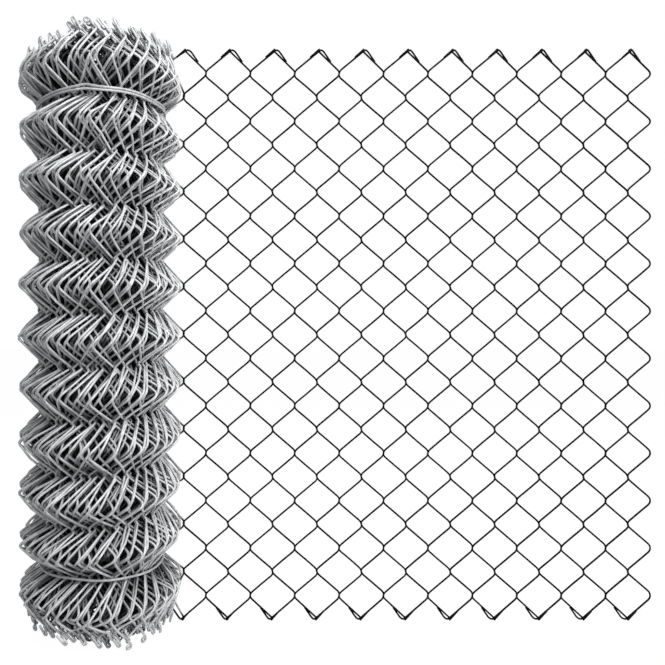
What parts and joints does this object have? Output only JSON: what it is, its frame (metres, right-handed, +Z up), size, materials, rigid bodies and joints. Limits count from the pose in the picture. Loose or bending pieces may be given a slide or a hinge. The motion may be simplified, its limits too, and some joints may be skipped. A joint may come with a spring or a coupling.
{
  "type": "roll of chain-link wire fencing",
  "caption": "Roll of galvanised chain-link fencing standing on end, tied with wire near both ends, its loose end run out flat to one side.",
  "frame": {"origin": "on the roll's axis at floor level", "axes": "+Z up along the roll's axis, +X along the flat run away from the roll"},
  "size_m": [1.1274, 0.275, 1.04],
  "materials": {
    "galvanised_wire": "satin",
    "run_wire": "satin",
    "tie_wire": "satin"
  },
  "bodies": {
    "root": {"fence_roll": "galvanised_wire", "run_wire_01": "run_wire", "run_wire_02": "run_wire", "run_wire_03": "run_wire", "run_wire_04": "run_wire", "run_wire_05": "run_wire", "run_wire_06": "run_wire", "run_wire_07": "run_wire", "run_wire_08": "run_wire", "run_wire_09": "run_wire", "run_wire_10": "run_wire", "run_wire_11": "run_wire", "run_wire_12": "run_wire", "run_wire_13": "run_wire", "run_wire_14": "run_wire", "run_wire_15": "run_wire", "run_wire_16": "run_wire", "run_wire_17": "run_wire", "run_wire_18": "run_wire", "run_wire_19": "run_wire", "run_wire_20": "run_wire", "run_wire_21": "run_wire", "upper_tie": "tie_wire", "lower_tie": "tie_wire"}
  },
  "joints": []
}
